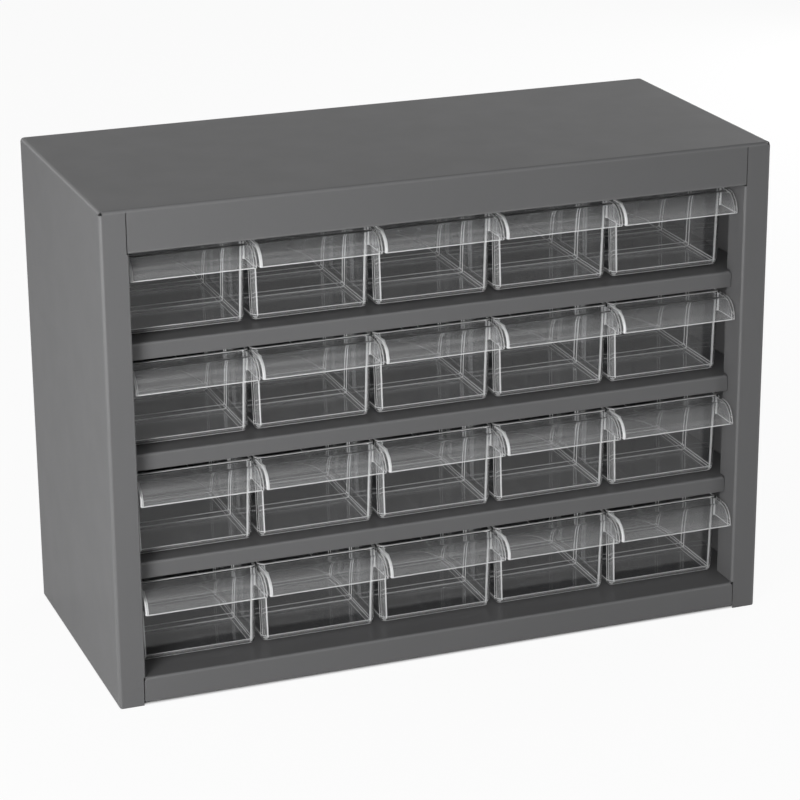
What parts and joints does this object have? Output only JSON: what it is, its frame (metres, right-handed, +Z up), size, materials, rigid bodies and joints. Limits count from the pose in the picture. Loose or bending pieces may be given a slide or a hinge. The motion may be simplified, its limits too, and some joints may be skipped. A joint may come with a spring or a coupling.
{
  "type": "parts bin cabinet",
  "caption": "Folded sheet steel cabinet, open in front, with level shelves that carry rows of clear moulded drawers with curved full-width pulls and divider slots.",
  "frame": {"origin": "middle of the cabinet's footprint, at the height of the surface it stands on", "axes": "+X to the right of someone who faces the drawers, +Y from the drawer fronts to the back, +Z up"},
  "size_m": [0.438, 0.192, 0.318],
  "materials": {
    "grey_enamel": "satin",
    "clear_plastic": "clear gloss"
  },
  "bodies": {
    "carcass": {"casing": "grey_enamel", "base_panel": "grey_enamel", "back_panel": "grey_enamel", "shelf_1": "grey_enamel", "shelf_2": "grey_enamel", "shelf_3": "grey_enamel"},
    "drawer_row1_column1": {"drawer_row1_column1": "clear_plastic"},
    "drawer_row1_column2": {"drawer_row1_column2": "clear_plastic"},
    "drawer_row1_column3": {"drawer_row1_column3": "clear_plastic"},
    "drawer_row1_column4": {"drawer_row1_column4": "clear_plastic"},
    "drawer_row1_column5": {"drawer_row1_column5": "clear_plastic"},
    "drawer_row2_column1": {"drawer_row2_column1": "clear_plastic"},
    "drawer_row2_column2": {"drawer_row2_column2": "clear_plastic"},
    "drawer_row2_column3": {"drawer_row2_column3": "clear_plastic"},
    "drawer_row2_column4": {"drawer_row2_column4": "clear_plastic"},
    "drawer_row2_column5": {"drawer_row2_column5": "clear_plastic"},
    "drawer_row3_column1": {"drawer_row3_column1": "clear_plastic"},
    "drawer_row3_column2": {"drawer_row3_column2": "clear_plastic"},
    "drawer_row3_column3": {"drawer_row3_column3": "clear_plastic"},
    "drawer_row3_column4": {"drawer_row3_column4": "clear_plastic"},
    "drawer_row3_column5": {"drawer_row3_column5": "clear_plastic"},
    "drawer_row4_column1": {"drawer_row4_column1": "clear_plastic"},
    "drawer_row4_column2": {"drawer_row4_column2": "clear_plastic"},
    "drawer_row4_column3": {"drawer_row4_column3": "clear_plastic"},
    "drawer_row4_column4": {"drawer_row4_column4": "clear_plastic"},
    "drawer_row4_column5": {"drawer_row4_column5": "clear_plastic"}
  },
  "joints": [
    {"name": "drawer_row1_column1_slide", "type": "slide", "parent": "carcass", "child": "drawer_row1_column1", "axis": [0, -1, 0], "range_m": [0, 0.115]},
    {"name": "drawer_row1_column2_slide", "type": "slide", "parent": "carcass", "child": "drawer_row1_column2", "axis": [0, -1, 0], "range_m": [0, 0.115]},
    {"name": "drawer_row1_column3_slide", "type": "slide", "parent": "carcass", "child": "drawer_row1_column3", "axis": [0, -1, 0], "range_m": [0, 0.115]},
    {"name": "drawer_row1_column4_slide", "type": "slide", "parent": "carcass", "child": "drawer_row1_column4", "axis": [0, -1, 0], "range_m": [0, 0.115]},
    {"name": "drawer_row1_column5_slide", "type": "slide", "parent": "carcass", "child": "drawer_row1_column5", "axis": [0, -1, 0], "range_m": [0, 0.115]},
    {"name": "drawer_row2_column1_slide", "type": "slide", "parent": "carcass", "child": "drawer_row2_column1", "axis": [0, -1, 0], "range_m": [-0.0012, 0.115]},
    {"name": "drawer_row2_column2_slide", "type": "slide", "parent": "carcass", "child": "drawer_row2_column2", "axis": [0, -1, 0], "range_m": [-0.0012, 0.115]},
    {"name": "drawer_row2_column3_slide", "type": "slide", "parent": "carcass", "child": "drawer_row2_column3", "axis": [0, -1, 0], "range_m": [-0.0012, 0.115]},
    {"name": "drawer_row2_column4_slide", "type": "slide", "parent": "carcass", "child": "drawer_row2_column4", "axis": [0, -1, 0], "range_m": [-0.0012, 0.115]},
    {"name": "drawer_row2_column5_slide", "type": "slide", "parent": "carcass", "child": "drawer_row2_column5", "axis": [0, -1, 0], "range_m": [-0.0012, 0.115]},
    {"name": "drawer_row3_column1_slide", "type": "slide", "parent": "carcass", "child": "drawer_row3_column1", "axis": [0, -1, 0], "range_m": [-0.0036, 0.115]},
    {"name": "drawer_row3_column2_slide", "type": "slide", "parent": "carcass", "child": "drawer_row3_column2", "axis": [0, -1, 0], "range_m": [-0.0036, 0.115]},
    {"name": "drawer_row3_column3_slide", "type": "slide", "parent": "carcass", "child": "drawer_row3_column3", "axis": [0, -1, 0], "range_m": [-0.0036, 0.115]},
    {"name": "drawer_row3_column4_slide", "type": "slide", "parent": "carcass", "child": "drawer_row3_column4", "axis": [0, -1, 0], "range_m": [-0.0036, 0.115]},
    {"name": "drawer_row3_column5_slide", "type": "slide", "parent": "carcass", "child": "drawer_row3_column5", "axis": [0, -1, 0], "range_m": [-0.0036, 0.115]},
    {"name": "drawer_row4_column1_slide", "type": "slide", "parent": "carcass", "child": "drawer_row4_column1", "axis": [0, -1, 0], "range_m": [-0.0054, 0.115]},
    {"name": "drawer_row4_column2_slide", "type": "slide", "parent": "carcass", "child": "drawer_row4_column2", "axis": [0, -1, 0], "range_m": [-0.0054, 0.115]},
    {"name": "drawer_row4_column3_slide", "type": "slide", "parent": "carcass", "child": "drawer_row4_column3", "axis": [0, -1, 0], "range_m": [-0.0054, 0.115]},
    {"name": "drawer_row4_column4_slide", "type": "slide", "parent": "carcass", "child": "drawer_row4_column4", "axis": [0, -1, 0], "range_m": [-0.0054, 0.115]},
    {"name": "drawer_row4_column5_slide", "type": "slide", "parent": "carcass", "child": "drawer_row4_column5", "axis": [0, -1, 0], "range_m": [-0.0054, 0.115]}
  ]
}
